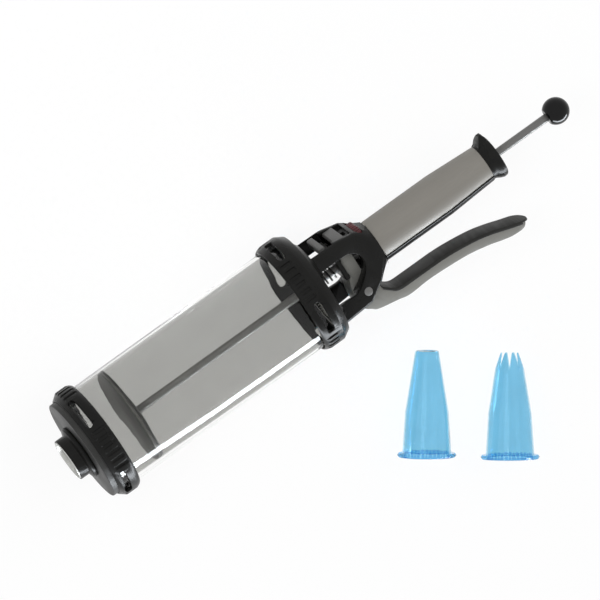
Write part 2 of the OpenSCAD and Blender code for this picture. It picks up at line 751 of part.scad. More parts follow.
module release_button() {
    pitch = button_w / button_ribs;
    crown_y = button_top - button_crown_r;
    rear_x = button_x + button_len + over;
    color([0.42, 0.12, 0.14]) difference() {
        intersection() {
            button_bar(button_len, button_w, button_foot, frame_high);
            translate([button_x - over, crown_y, 0]) rotate([0, quarter_turn, 0])
                cylinder(h = button_len + 2 * over, r = button_crown_r);
            side_extrude([[button_x - over, wedge_sum - button_x + over],
                [wedge_sum - button_foot, button_foot], [rear_x, button_foot],
                [rear_x, button_top - bevel], [button_x - over, button_top + bevel]], button_w);
        }
        for (k = [1 : button_ribs - 1])
            translate([button_x - over, crown_y, 0])
                rotate([(k - button_ribs / 2) * pitch / button_crown_r * half_turn / PI, 0, 0])
                    translate([0, button_crown_r - button_rib_d, -pitch * button_rib_share / 2])
                        cube([button_len + 2 * over, 2 * button_rib_d, pitch * button_rib_share]);
    }
}

// The lock plate tips about its round foot
module lock_plate() {
    color([0.55, 0.55, 0.53]) difference() {
        union() {
            translate([lock_x, -lock_low, -lock_w / 2]) cube([lock_t, lock_low + lock_high, lock_w]);
            translate([lock_x + lock_foot_r, -lock_low, -lock_w / 2]) cylinder(h = lock_w, r = lock_foot_r);
        }
        on_axis(lock_x - over) cylinder(h = lock_t + 2 * over, r = rod_r + rod_clear);
    }
}

module lock_spring() {
    color([0.6, 0.6, 0.58]) coil(lock_pocket_x + fit, lock_x - lock_pocket_x - 2 * fit,
        lock_spring_r, lock_turns, lock_wire);
}

// Lever
lever_top = spline(scaled(lever_top_shares, pin_x, lever_len, lever_drop), curve_steps);
lever_low = spline(scaled(lever_low_shares, pin_x, lever_len, lever_drop), curve_steps);

// The blade that meets the drive plate has one large round, so it rolls on the plate
function blade_arc(steps) = [for (k = [0 : steps])
    let (y = -drive_low + k * (nose_top + drive_low) / steps)
    [nose_x + nose_r - sqrt(nose_r * nose_r - y * y), y]];

function upto(line, share) = [for (p = line) if (p[0] <= pin_x + lever_len * share) p];
function lowered(line, drop) = [for (p = line) p - [0, drop]];
function backwards(line) = [for (k = [len(line) - 1 : -1 : 0]) line[k]];
steel_top = lowered(upto(lever_top, steel_share), grip_cap);

module lever_outline() {
    neck = steel_top[0] - [0, pin_dy];
    toe = lever_low[len(lever_low) - 1] - [0, pin_dy];
    translate([0, -pin_dy]) polygon(concat(steel_top, lever_low));
    polygon(concat(blade_arc(2 * curve_steps), [[blade_back - bevel, nose_top],
        [blade_back, nose_top - bevel], [blade_back, -drive_low], neck,
        [pin_x, -pin_dy - lever_drop / 3], toe]));
}

// Room of the lever seen from above, with its round tip
module tip_plan(half_w) {
    tip_x = pin_x + lever_len - lever_r - grip_side;
    low = -pin_dy - 2 * lever_drop;
    translate([head_back, low, -half_w])
        cube([tip_x - head_back, nose_top + over - low, 2 * half_w]);
    translate([tip_x, -pin_dy, 0]) rotate([quarter_turn, 0, 0])
        cylinder(h = 2 * lever_drop, r = half_w);
}

module lever() {
    inner = lever_w - 2 * lever_wall;
    floor_line = [for (p = upto(lever_low, grip_tip_share)) if (p[1] <= -lever_drop * web_share) p];
    color([0.5, 0.5, 0.48]) difference() {
        intersection() {
            translate([0, 0, -lever_r]) linear_extrude(lever_w) lever_outline();
            union() tip_plan(lever_r);
        }
        // Inside of the folded channel, open towards the handle
        translate([0, lever_wall - pin_dy, -inner / 2]) linear_extrude(inner)
            polygon(concat(lowered(lever_top, -lever_drop), floor_line));
        translate([nose_x - fold_t, -pin_dy - pin_d, -inner / 2])
            cube([saddle_x - nose_x + pin_d, pin_d + pin_dy + nose_top + over, inner]);
        translate([pin_x, -pin_dy, -lever_r - over]) cylinder(h = lever_w + 2 * over, r = pin_r + fit);
    }
}

// Moulded cap over the lever's edges, with a hem down both sides and a filling in the channel
module lever_grip() {
    inner = lever_w - 2 * lever_wall;
    filled = upto(lever_top, grip_tip_share);
    width = lever_w + 2 * grip_side;
    hem = concat(lever_top, backwards(lowered(lever_top, grip_cap + grip_hem)));
    color([0.19, 0.19, 0.18]) intersection() {
        translate([0, -pin_dy, 0]) {
            translate([0, 0, -width / 2]) linear_extrude(width)
                polygon(concat(lever_top, backwards(lowered(lever_top, grip_cap))));
            for (z = [-width / 2, lever_r])
                translate([0, 0, z]) linear_extrude(grip_side) polygon(hem);
            translate([0, 0, -inner / 2]) linear_extrude(inner)
                polygon(concat(filled, backwards(lowered(filled, grip_fill))));
        }
        union() tip_plan(width / 2);
    }
}

module lever_pin() {
    color([0.6, 0.6, 0.58]) translate([pin_x, -pin_dy, -frame_r]) cylinder(h = frame_w, r = pin_r);
}

module pin_clip() {
    color([0.5, 0.5, 0.5]) translate([pin_x, -pin_dy, -frame_r - clip_t])
        cylinder(h = clip_t, r = clip_r);
}

module pivot_washers() {
    color([0.7, 0.7, 0.68]) for (s = [-1, 1])
        translate([pin_x, -pin_dy, s * (lever_r + cheek_gap / 2) - washer_t / 2]) difference() {
            cylinder(h = washer_t, r = washer_r);
            translate([0, 0, -over]) cylinder(h = washer_t + 2 * over, r = pin_r);
        }
}

// Handle
module grip_sleeve() {
    inner = grip_line(sleeve_t);
    color([0.58, 0.57, 0.54]) on_axis() rotate([0, 0, strip_span / 2 - half_turn])
        rotate_extrude(angle = full_turn - strip_span)
            polygon(concat(grip_line(0), [for (k = [len(inner) - 1 : -1 : 0]) inner[k]]));
}

// A flared round cap with a narrow thumb rest standing up from it
module grip_end_cap() {
    flare = [for (p = flare_shares) [p[1] * grip_end_r, cap_x + p[0] * cap_len]];
    horn_y = cap_high - cap_round;
    color([0.1, 0.1, 0.1]) difference() {
        union() {
            turned(concat([[0, cap_x]], flare, [[0, cap_end]]));
            intersection() {
                side_extrude(scaled(horn_shares, cap_x, cap_len, cap_high), cap_round);
                union() {
                    translate([cap_x, 0, -cap_round]) cube([cap_len, horn_y, 2 * cap_round]);
                    translate([cap_x, horn_y, 0]) rotate([0, quarter_turn, 0])
                        cylinder(h = cap_len, r = cap_round);
                }
            }
        }
        on_axis(cap_x - over) cylinder(h = cap_len + 2 * over, r = rod_r + rod_clear);
        on_axis(cap_end - bush_len) cylinder(h = bush_len + over, r = bush_r);
    }
}

// Nozzles: modelled along Z with the flange at 0, then laid down on flange and tip
module laid(x, y, r_tip) {
    tilt = atan((nozzle_flange_r - r_tip) / (nozzle_len - nozzle_flange_t / 2));
    drop = nozzle_flange_r * cos(tilt) + nozzle_flange_t / 2 * sin(tilt);
    translate([x, y, floor_z + drop]) rotate([0, 0, nozzle_turn])
        rotate([0, quarter_turn + tilt, 0]) translate([0, 0, -nozzle_len / 2]) children();
}

module nozzle_plain() {
    kink_z = nozzle_len * nozzle_kink_share;
    kink_r = base_r * kink_r_share;
    w = nozzle_wall;
    color([0.3, 0.65, 0.9, 0.6]) laid(plain_x, plain_y, tip_r) rotate_extrude()
        polygon([[base_r - w, 0], [nozzle_flange_r - w, 0], [nozzle_flange_r, nozzle_flange_t / 2],
            [nozzle_flange_r - w, nozzle_flange_t], [base_r, nozzle_flange_t], [kink_r, kink_z],
            [tip_r, nozzle_len - w], [tip_r - w / 2, nozzle_len], [tip_r - w, nozzle_len],
            [kink_r - w, kink_z]]);
}

module nozzle_star() {
    kink_z = nozzle_len * nozzle_kink_share;
    kink_r = base_r * kink_r_share;
    w = nozzle_wall;
    shoulder = nozzle_len - tooth_len;
    wedge_w = tooth_gap_share * full_turn / tooth_count / 2;
    color([0.3, 0.65, 0.9, 0.6]) laid(star_x, star_y, star_tip_r) difference() {
        rotate_extrude() polygon([[base_r - w, 0], [nozzle_flange_r - w, 0],
            [nozzle_flange_r, nozzle_flange_t / 2], [nozzle_flange_r - w, nozzle_flange_t],
            [base_r, nozzle_flange_t], [kink_r, kink_z], [star_shoulder_r, shoulder],
            [star_tip_r, nozzle_len], [star_tip_r - w / 2, nozzle_len],
            [star_shoulder_r - w, shoulder], [kink_r - w, kink_z]]);
        for (k = [0 : tooth_count - 1])
            rotate([0, 0, (k + 1 / 2) * full_turn / tooth_count])
                translate([0, 0, shoulder]) rotate([quarter_turn, 0, quarter_turn])
                    linear_extrude(2 * star_shoulder_r)
                        polygon([[0, 0], [star_tip_r * tan(wedge_w), tooth_len + over],
                            [-star_tip_r * tan(wedge_w), tooth_len + over]]);
    }
}

barrel_tube();
front_seal();
rear_seal();
front_collar();
rear_collar();
front_plate();
nose_ring();
nose_sleeve();
piston_disc();
piston_seal();
piston_backing();
piston_hub();
plunger_rod();
ball_knob();
body_frame();
rod_bushes();
drive_spring();
drive_plate();
drive_tab();
dose_slider();
release_button();
lock_plate();
lock_spring();
lever();
lever_grip();
lever_pin();
pin_clip();
pivot_washers();
grip_sleeve();
grip_end_cap();
nozzle_plain();
nozzle_star();
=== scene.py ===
"""Pastry syringe with its nozzles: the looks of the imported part, as a Blender add-on."""

import functools
import json
import math

import bmesh
import bpy
from bpy.props import FloatProperty, FloatVectorProperty, PointerProperty
from mathutils import Matrix, Vector


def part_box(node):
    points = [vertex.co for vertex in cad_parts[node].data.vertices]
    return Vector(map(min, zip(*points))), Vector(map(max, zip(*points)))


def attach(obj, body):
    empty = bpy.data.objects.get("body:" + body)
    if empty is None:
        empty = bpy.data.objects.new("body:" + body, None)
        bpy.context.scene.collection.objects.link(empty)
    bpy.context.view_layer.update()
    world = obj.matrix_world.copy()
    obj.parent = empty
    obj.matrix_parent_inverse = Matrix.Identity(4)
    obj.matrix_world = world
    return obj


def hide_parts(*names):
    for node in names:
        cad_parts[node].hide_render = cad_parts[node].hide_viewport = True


bl_info = {
    "name": "Pastry Syringe",
    "version": (1, 0, 0),
    "blender": (4, 5, 0),
    "location": "3D View > Sidebar > Syringe",
    "description": "Dresses the packed pastry syringe and sets its table, lamps and camera",
    "category": "Object",
}

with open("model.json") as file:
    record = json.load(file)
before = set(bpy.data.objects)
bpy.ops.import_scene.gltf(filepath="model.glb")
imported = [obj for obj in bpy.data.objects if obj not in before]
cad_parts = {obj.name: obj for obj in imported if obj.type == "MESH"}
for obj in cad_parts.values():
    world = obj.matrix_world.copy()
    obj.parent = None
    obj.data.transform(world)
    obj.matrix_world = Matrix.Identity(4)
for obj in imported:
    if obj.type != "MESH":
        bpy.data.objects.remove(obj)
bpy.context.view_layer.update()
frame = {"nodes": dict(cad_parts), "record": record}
MM = 0.001


# Settings

def colour(name, default, words):
    return FloatVectorProperty(name=name, description=words, subtype="COLOR", size=3, min=0.0, max=1.0,
                               default=default)


def length(name, default, words):
    return FloatProperty(name=name, description=words, subtype="DISTANCE", unit="LENGTH", min=0.0,
                         default=default)


class FinishSettings(bpy.types.PropertyGroup):
    black: colour("Black", (0.0075, 0.0075, 0.0070), "Moulded black of the body, collars and cap")
    liner: colour("Lever cap", (0.018, 0.018, 0.0165), "Moulded cap over the lever's edges")
    # Painted light: the front plate is the same black plastic as the collars, and this lighter grey stands
    # in for the light on its face
    plate: colour("Plate", (0.024, 0.024, 0.023), "Dark grey of the front plate")
    piston: colour("Piston", (0.075, 0.075, 0.068), "Grey of the piston")
    # Painted light: the face that closes the barrel lies in the shade of the collar and tube, and this
    # grey is raised to stand in for the light it lacks
    head: colour("Head", (0.26, 0.257, 0.245), "Grey of the body's face that closes the barrel")
    tab: colour("Tab", (0.085, 0.085, 0.082), "Grey of the slider and the drive tab")
    button: colour("Button", (0.075, 0.009, 0.012), "Dark red of the release button")
    rubber: colour("Rubber", (0.02, 0.02, 0.02), "Black rubber of the seals")
    gloss: colour("Gloss", (0.004, 0.004, 0.004), "Polished black of the knob")
    bush: colour("Bush", (0.5, 0.5, 0.47), "Pale plastic of the bushes and washers")
    sleeve: colour("Sleeve", (0.21, 0.20, 0.18), "Bright metal of the handle")
    lever: colour("Lever", (0.19, 0.19, 0.175), "Steel of the lever")
    rod: colour("Rod", (0.125, 0.124, 0.12), "Steel of the rod and pins")
    polished: colour("Polished", (0.52, 0.52, 0.50), "Polished metal of the sleeve in the nose")
    spring: colour("Spring", (0.5, 0.5, 0.48), "Steel of the springs")
    nozzle: colour("Nozzle", (0.43, 0.71, 0.85), "Translucent blue of the nozzles")
    rim: colour("Nozzle rim", (0.13, 0.43, 0.74), "Deeper blue of the nozzles' solid flanges")
    tube: colour("Tube", (0.96, 0.96, 0.95), "Tint of the clear barrel's wall")
    # Painted shade: this grey tint on the clear barrel's inner faces stands in for the shade seen inside
    # the barrel
    bore: colour("Bore", (0.375, 0.375, 0.36), "Smoky tint inside the clear barrel")
    table: colour("Table", (0.93, 0.93, 0.93), "Pale table")


class ShapeSettings(bpy.types.PropertyGroup):
    edge: length("Edge round", 0.3 * MM, "Rounding of moulded edges")
    metal_edge: length("Metal edge", 0.2 * MM, "Rounding of folded and turned metal edges")
    clear_edge: length("Clear edge", 0.25 * MM, "Rounding of the barrel's and the plain nozzle's edges")


# Nodes

def add(tree, kind, links=(), **values):
    """A node with its values set; links pairs an input's name or number with a value or an output."""
    node = tree.nodes.new(kind)
    for key, value in values.items():
        setattr(node, key, value)
    for socket, source in links:
        if isinstance(source, bpy.types.NodeSocket):
            tree.links.new(source, node.inputs[socket])
        else:
            node.inputs[socket].default_value = source
    return node


def calc(tree, operation, *terms, clamp=False):
    """The value of one Math node."""
    node = add(tree, "ShaderNodeMath", enumerate(terms), operation=operation, use_clamp=clamp)
    return node.outputs["Value"]


def mixed(tree, share, first, second):
    """Two shaders, from the first at a share of 0 to the second at 1."""
    mix = add(tree, "ShaderNodeMixShader", [(0, share), (1, first), (2, second)])
    return mix.outputs["Shader"]


def empty_tree(owner):
    """The cleared node tree of a material or a world."""
    owner.use_nodes = True
    owner.node_tree.nodes.clear()
    return owner.node_tree


def the_node(mat, kind):
    return next(node for node in mat.node_tree.nodes if node.bl_idname == kind)


# Skin groups: how a surface's colour, roughness and normal change over it

GREY_INPUT = ("Colour", "NodeSocketColor", (0.5, 0.5, 0.5, 1))
NOISE_LOW, NOISE_HIGH = 0.35, 0.65
SHIFT_LOW, SHIFT_HIGH = -0.5, 0.5


def skin_group(name, inputs):
    """A group with its inputs and a skin's three outputs, and its first and last node."""
    group = bpy.data.node_groups.new(name, "ShaderNodeTree")
    for label, kind, value in inputs:
        socket = group.interface.new_socket(label, in_out="INPUT", socket_type=kind)
        socket.default_value = value
    for label, kind in (("Colour", "NodeSocketColor"), ("Roughness", "NodeSocketFloat"),
                        ("Normal", "NodeSocketVector")):
        group.interface.new_socket(label, in_out="OUTPUT", socket_type=kind)
    return group, group.nodes.new("NodeGroupInput"), group.nodes.new("NodeGroupOutput")


def noise(tree, place, scale, detail):
    node = add(tree, "ShaderNodeTexNoise", [("Vector", place), ("Scale", scale), ("Detail", detail)])
    return node.outputs["Fac"]


def spread(tree, source, low, high):
    """The middle band of a noise, spread from low to high."""
    node = add(tree, "ShaderNodeMapRange",
               [("Value", source), ("From Min", NOISE_LOW), ("From Max", NOISE_HIGH), ("To Min", low),
                ("To Max", high)])
    return node.outputs["Result"]


def end_skin(group, start, end, tone, rougher, height, reach):
    """Ends a skin: its colour times tone, its roughness plus rougher, and bumps of a height."""
    tint = add(group, "ShaderNodeVectorMath", [(0, start.outputs["Colour"]), ("Scale", tone)],
               operation="SCALE")
    rough = calc(group, "ADD", start.outputs["Roughness"], rougher, clamp=True)
    bump = add(group, "ShaderNodeBump",
               [("Height", height), ("Strength", start.outputs["Depth"]), ("Distance", reach)])
    group.links.new(tint.outputs["Vector"], end.inputs["Colour"])
    group.links.new(rough, end.inputs["Roughness"])
    group.links.new(bump.outputs["Normal"], end.inputs["Normal"])
    return group


GRAIN_DETAIL = 3.0
GRAIN_REACH = 0.1 * MM
CLOUD_SCALE, CLOUD_DETAIL = 55.0, 4.0
CLOUD_ROUGH_SHARE = 0.35


@functools.cache
def moulded_grain():
    """Fine moulded skin: cloudy tone and roughness and a small height, over Object coordinates."""
    group, start, end = skin_group(
        "moulded_grain",
        [GREY_INPUT, ("Roughness", "NodeSocketFloat", 0.4), ("Grain", "NodeSocketFloat", 2500.0),
         ("Depth", "NodeSocketFloat", 0.1), ("Cloud", "NodeSocketFloat", 0.28)])
    place = add(group, "ShaderNodeTexCoord").outputs["Object"]
    fine = noise(group, place, start.outputs["Grain"], GRAIN_DETAIL)
    shift = spread(group, noise(group, place, CLOUD_SCALE, CLOUD_DETAIL), SHIFT_LOW, SHIFT_HIGH)
    tone = calc(group, "MULTIPLY_ADD", shift, start.outputs["Cloud"], 1.0)
    cloud = calc(group, "MULTIPLY", shift, start.outputs["Cloud"])
    return end_skin(group, start, end, tone, calc(group, "MULTIPLY", cloud, CLOUD_ROUGH_SHARE), fine,
                    GRAIN_REACH)


STREAK_STRETCH = (40.0, 1600.0, 1600.0)
STREAK_DETAIL = 4.0
STREAK_REACH = 0.05 * MM
PATCH_SCALE, PATCH_DETAIL = 35.0, 3.0
PATCH_SMOOTHER, PATCH_ROUGHER = -0.05, 0.07


@functools.cache
def drawn_metal():
    """Metal drawn or brushed along the barrel: long streaks in its tone, patches in its roughness."""
    group, start, end = skin_group(
        "drawn_metal",
        [GREY_INPUT, ("Roughness", "NodeSocketFloat", 0.3),
         ("Stretch", "NodeSocketVector", STREAK_STRETCH), ("Depth", "NodeSocketFloat", 0.1),
         ("Streak", "NodeSocketFloat", 0.2)])
    place = add(group, "ShaderNodeTexCoord").outputs["Object"]
    along = add(group, "ShaderNodeVectorMath", [(0, place), (1, start.outputs["Stretch"])],
                operation="MULTIPLY")
    streak = noise(group, along.outputs["Vector"], 1.0, STREAK_DETAIL)
    patch = noise(group, place, PATCH_SCALE, PATCH_DETAIL)
    shift = spread(group, streak, SHIFT_LOW, SHIFT_HIGH)
    tone = calc(group, "MULTIPLY_ADD", shift, start.outputs["Streak"], 1.0)
    return end_skin(group, start, end, tone, spread(group, patch, PATCH_SMOOTHER, PATCH_ROUGHER), streak,
                    STREAK_REACH)


# Materials

CLEAR_IOR, BLUE_IOR = 1.03, 1.04
CLEAR_SKIN = {"Grain": 60.0, "Depth": 0.0, "Cloud": 0.03}
BLUE_SKIN = {"Grain": 300.0, "Depth": 0.0, "Cloud": 0.04}
BLUE_GLASS = {"Transmission Weight": 1.0, "IOR": BLUE_IOR, "Coat Roughness": 0.08, "Coat IOR": 1.4}

# For each finish: skin group, colour setting, roughness, the group's inputs, the shader's sockets
FINISHES = {
    "black_plastic": (moulded_grain, "black", 0.28, {"Grain": 2400.0, "Depth": 0.3},
                      {"Specular IOR Level": 0.12}),
    "liner_plastic": (moulded_grain, "liner", 0.5, {"Grain": 3200.0, "Depth": 0.15},
                      {"Specular IOR Level": 0.15}),
    "grey_plastic": (moulded_grain, "piston", 0.45, {"Grain": 2600.0, "Depth": 0.1},
                     {"Specular IOR Level": 0.3}),
    # The closing face's grey, raised as painted light against the shade of the collar and tube
    "head_grey_painted_light": (moulded_grain, "head", 0.5, {"Grain": 2600.0, "Depth": 0.1},
                  {"Specular IOR Level": 0.2}),
    # The front plate's black, lightened as painted light on its face
    "plate_plastic_painted_light": (moulded_grain, "plate", 0.45, {"Grain": 2600.0, "Depth": 0.1},
                      {"Specular IOR Level": 0.25}),
    "tab_grey": (moulded_grain, "tab", 0.45, {"Grain": 2600.0, "Depth": 0.12},
                 {"Specular IOR Level": 0.3}),
    "red_plastic": (moulded_grain, "button", 0.35, {"Grain": 2400.0, "Depth": 0.06},
                    {"Specular IOR Level": 0.3}),
    "gloss_black": (moulded_grain, "gloss", 0.09, {"Grain": 900.0, "Depth": 0.01},
                    {"Specular IOR Level": 0.16, "Coat Weight": 0.03}),
    "seal_rubber": (moulded_grain, "rubber", 0.7, {"Grain": 1800.0, "Depth": 0.15}, {}),
    "bush_plastic": (moulded_grain, "bush", 0.35, {"Grain": 2200.0, "Depth": 0.05}, {}),
    "polished_metal": (drawn_metal, "polished", 0.4, {"Depth": 0.03}, {"Metallic": 0.6}),
    "rod_steel": (drawn_metal, "rod", 0.42, {"Depth": 0.03, "Streak": 0.1}, {"Metallic": 0.35}),
    "spring_steel": (drawn_metal, "spring", 0.22, {"Depth": 0.04}, {"Metallic": 1.0}),
    "lever_steel": (drawn_metal, "lever", 0.5, {"Depth": 0.03, "Streak": 0.08}, {"Metallic": 0.2}),
    "sleeve_metal": (drawn_metal, "sleeve", 0.5, {"Depth": 0.01, "Streak": 0.05},
                     {"Metallic": 0.15, "Specular IOR Level": 0.3}),
    "clear_plastic": (moulded_grain, "tube", 0.02, CLEAR_SKIN,
                      {"Transmission Weight": 1.0, "IOR": CLEAR_IOR, "Coat Roughness": 0.06,
                       "Coat IOR": 1.45}),
    # The barrel's inner faces: a grey tint, painted shade inside the clear barrel
    "clear_bore": (moulded_grain, "bore", 0.02, CLEAR_SKIN,
                   {"Transmission Weight": 1.0, "IOR": CLEAR_IOR}),
    "blue_plastic": (moulded_grain, "nozzle", 0.04, BLUE_SKIN, {**BLUE_GLASS, "Coat Weight": 0.6}),
    "blue_rim": (moulded_grain, "rim", 0.04, BLUE_SKIN, {**BLUE_GLASS, "Coat Weight": 0.4}),
}
# Tint of the shadows that the clear barrel's walls let through
CLEAR_WALL_SHADOW = (0.9, 0.9, 0.9, 1)
BLUE_SHADOW = (0.75, 0.92, 0.98, 1)
SHADOWS = {"clear_plastic": CLEAR_WALL_SHADOW, "clear_bore": CLEAR_WALL_SHADOW, "blue_plastic": BLUE_SHADOW,
           "blue_rim": BLUE_SHADOW}
OUTER_COATS = {"clear_plastic": 0.8}


def surface(name, skin_of, setting, roughness, inputs, sockets):
    """A material: one Principled surface fed by a skin group, with its constants on its own sockets."""
    mat = bpy.data.materials.new(name)
    tree = empty_tree(mat)
    skin = add(tree, "ShaderNodeGroup", node_tree=skin_of())
    skin.inputs["Colour"].default_value = (*getattr(bpy.context.scene.syringe_finish, setting), 1)
    skin.inputs["Roughness"].default_value = roughness
    for label, value in inputs.items():
        skin.inputs[label].default_value = value
    shader = add(tree, "ShaderNodeBsdfPrincipled", sockets.items())
    tree.links.new(skin.outputs["Colour"], shader.inputs["Base Color"])
    tree.links.new(skin.outputs["Roughness"], shader.inputs["Roughness"])
    tree.links.new(skin.outputs["Normal"], shader.inputs["Normal"])
    add(tree, "ShaderNodeOutputMaterial", [("Surface", shader.outputs["BSDF"])])
    return mat


def see_through(mat, tint):
    """Lets shadow rays pass a clear material, so that what it holds is lit."""
    tree = mat.node_tree
    shader = the_node(mat, "ShaderNodeBsdfPrincipled")
    path = add(tree, "ShaderNodeLightPath")
    clear = add(tree, "ShaderNodeBsdfTransparent", [("Color", tint)])
    both = mixed(tree, path.outputs["Is Shadow Ray"], shader.outputs["BSDF"], clear.outputs["BSDF"])
    tree.links.new(both, the_node(mat, "ShaderNodeOutputMaterial").inputs["Surface"])


def coated_outside(mat, weight):
    """A clear coat that shines on the outside of a wall only."""
    tree = mat.node_tree
    inside = add(tree, "ShaderNodeNewGeometry").outputs["Backfacing"]
    coat = add(tree, "ShaderNodeMapRange", [("Value", inside), ("To Min", weight), ("To Max", 0.0)])
    tree.links.new(coat.outputs["Result"], the_node(mat, "ShaderNodeBsdfPrincipled").inputs["Coat Weight"])


@functools.cache
def material(name):
    """The finish of one slot of the record, or of part of a piece, made when it is first asked for."""
    mat = surface(name, *FINISHES[name])
    if name in SHADOWS:
        see_through(mat, SHADOWS[name])
    if name in OUTER_COATS:
        coated_outside(mat, OUTER_COATS[name])
    return mat


def paint(obj, name):
    obj.data.materials.clear()
    obj.data.materials.append(material(name))


def paint_where(obj, name, chosen):
    """Gives the faces that chosen(face) picks a second finish."""
    obj.data.materials.append(material(name))
    for face in obj.data.polygons:
        if chosen(face):
            face.material_index = len(obj.data.materials) - 1


# Making pieces

MERGE_DISTANCE = 0.001 * MM
FLAT_ANGLE = math.radians(0.3)
SHARP_ANGLE = math.radians(28.0)
EDGE_SEGMENTS = 2


def body_of(node):
    for body, nodes in frame["record"]["behaviour"]["bodies"].items():
        if node in nodes:
            return body
    raise ValueError("no body holds " + node)


def slot_of(node):
    for row in frame["record"]["subparts"]:
        if row["node"] == node:
            return row["material_slot"]
    raise ValueError("no slot for " + node)


def mesh_from(bm, name):
    mesh = bpy.data.meshes.new(name)
    bm.to_mesh(mesh)
    bm.free()
    return mesh


def in_scene(name, data):
    obj = bpy.data.objects.new(name, data)
    bpy.context.scene.collection.objects.link(obj)
    return obj


def dressed(name, mesh, node, finish):
    """A new piece that stands for a CAD node, on that node's body and with its slot."""
    obj = in_scene(name, mesh)
    paint(obj, finish)
    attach(obj, body_of(node))
    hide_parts(node)
    return obj


def softened(node, name, round_by, finish=None):
    """A merged copy of a CAD node with its sharp edges rounded, or kept where round_by is 0."""
    bm = bmesh.new()
    bm.from_mesh(frame["nodes"][node].data)
    bmesh.ops.remove_doubles(bm, verts=bm.verts, dist=MERGE_DISTANCE)
    bmesh.ops.dissolve_limit(bm, angle_limit=FLAT_ANGLE, verts=bm.verts, edges=bm.edges)
    mesh = mesh_from(bm, name)
    mesh.shade_smooth()
    obj = dressed(name, mesh, node, finish or slot_of(node))
    if round_by == 0:
        mesh.set_sharp_from_angle(angle=SHARP_ANGLE)
        return obj
    bevel = obj.modifiers.new("round", "BEVEL")
    bevel.width = round_by
    bevel.segments = EDGE_SEGMENTS
    bevel.limit_method = "ANGLE"
    bevel.angle_limit = SHARP_ANGLE
    bevel.harden_normals = True
    bevel.use_clamp_overlap = False
    return obj


# Pieces

def faces_axis(face):
    """Whether a face looks towards the barrel's axis, which is X."""
    return face.normal.dot(Vector((0, face.center.y, face.center.z))) < 0


class SYRINGE_OT_barrel(bpy.types.Operator):
    """Round the edges of the clear barrel tube, give its inner faces a grey tint as painted shade, and
    round both collars
    """
    bl_idname = "syringe.barrel"
    bl_label = "Barrel and collars"

    def execute(self, context):
        shape = context.scene.syringe_shape
        barrel = softened("barrel_tube", "clear_barrel", shape.clear_edge)
        # The inner faces get a grey tint, painted shade inside the clear barrel
        paint_where(barrel, "clear_bore", faces_axis)
        softened("front_collar", "front_collar_moulding", shape.edge)
        softened("rear_collar", "rear_collar_moulding", shape.edge)
        return {"FINISHED"}


class SYRINGE_OT_nose(bpy.types.Operator):
    """Round the edges of the front plate, the nose ring and its sleeve"""
    bl_idname = "syringe.nose"
    bl_label = "Nose"

    def execute(self, context):
        shape = context.scene.syringe_shape
        # The front plate takes the lightened black, painted light on its face
        softened("front_plate", "front_plate_moulding", shape.edge, "plate_plastic_painted_light")
        softened("nose_ring", "nose_ring_moulding", shape.edge)
        softened("nose_sleeve", "nose_sleeve_turned", shape.metal_edge)
        return {"FINISHED"}


class SYRINGE_OT_plunger(bpy.types.Operator):
    """Round the edges of the piston's discs, the rod and the knob"""
    bl_idname = "syringe.plunger"
    bl_label = "Plunger"

    def execute(self, context):
        shape = context.scene.syringe_shape
        for node in ("piston_disc", "piston_seal", "piston_backing", "piston_hub"):
            softened(node, node + "_moulding", shape.edge)
        softened("plunger_rod", "plunger_rod_turned", shape.metal_edge)
        softened("ball_knob", "ball_knob_moulding", shape.edge)
        return {"FINISHED"}


# How far the face that closes the barrel may lie behind the body's front rim
HEAD_RECESS = 6.0 * MM


class SYRINGE_OT_body(bpy.types.Operator):
    """Round the edges of the body and its handle, and grey the face that closes the barrel, lightened as
    painted light
    """
    bl_idname = "syringe.body"
    bl_label = "Body and handle"

    def execute(self, context):
        shape = context.scene.syringe_shape
        body = softened("body_frame", "body_moulding", shape.edge)
        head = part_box("body_frame")[0].x + HEAD_RECESS
        # The closing face gets the lightened grey, painted light against its shade
        paint_where(body, "head_grey_painted_light", lambda face: face.normal.x < 0 and face.center.x < head)
        softened("grip_sleeve", "grip_sleeve_rolled", shape.metal_edge)
        softened("grip_end_cap", "end_cap_moulding", shape.edge)
        return {"FINISHED"}


class SYRINGE_OT_controls(bpy.types.Operator):
    """Round the edges of the drive plate, tab, slider, button and lock plate"""
    bl_idname = "syringe.controls"
    bl_label = "Drive, slider and button"

    def execute(self, context):
        shape = context.scene.syringe_shape
        for node in ("drive_plate", "drive_tab", "dose_slider", "release_button"):
            softened(node, node + "_moulding", shape.edge)
        softened("lock_plate", "lock_plate_pressed", shape.metal_edge)
        return {"FINISHED"}


class SYRINGE_OT_lever(bpy.types.Operator):
    """Round the edges of the lever, its moulded cap and its pin"""
    bl_idname = "syringe.lever"
    bl_label = "Lever"

    def execute(self, context):
        shape = context.scene.syringe_shape
        softened("lever", "lever_folded", shape.metal_edge)
        softened("lever_grip", "lever_cap_moulding", shape.edge, "liner_plastic")
        softened("lever_pin", "lever_pin_turned", shape.edge)
        return {"FINISHED"}


# How the nozzles lie and how large they are, as in the part's source
NOZZLE_TURN = math.radians(55.0)
NOZZLE_LENGTH = 76.0 * MM
FLANGE_R = 21.2 * MM
FLANGE_DEPTH = 3.0 * MM
FLANGE_REACH = 1.05 * FLANGE_DEPTH
PLAIN_TIP_R = 8.6 * MM
STAR_TIP_R = 6.5 * MM


def tint_flange(obj, tip_r):
    """Gives the faces of a lying nozzle's flange the deeper blue of thick plastic."""
    tilt = math.atan((FLANGE_R - tip_r) / (NOZZLE_LENGTH - FLANGE_DEPTH / 2))
    axis = Vector((math.cos(NOZZLE_TURN) * math.cos(tilt), math.sin(NOZZLE_TURN) * math.cos(tilt),
                   -math.sin(tilt)))
    base = min(v.co.dot(axis) for v in obj.data.vertices)
    paint_where(obj, "blue_rim", lambda face: face.center.dot(axis) < base + FLANGE_REACH)


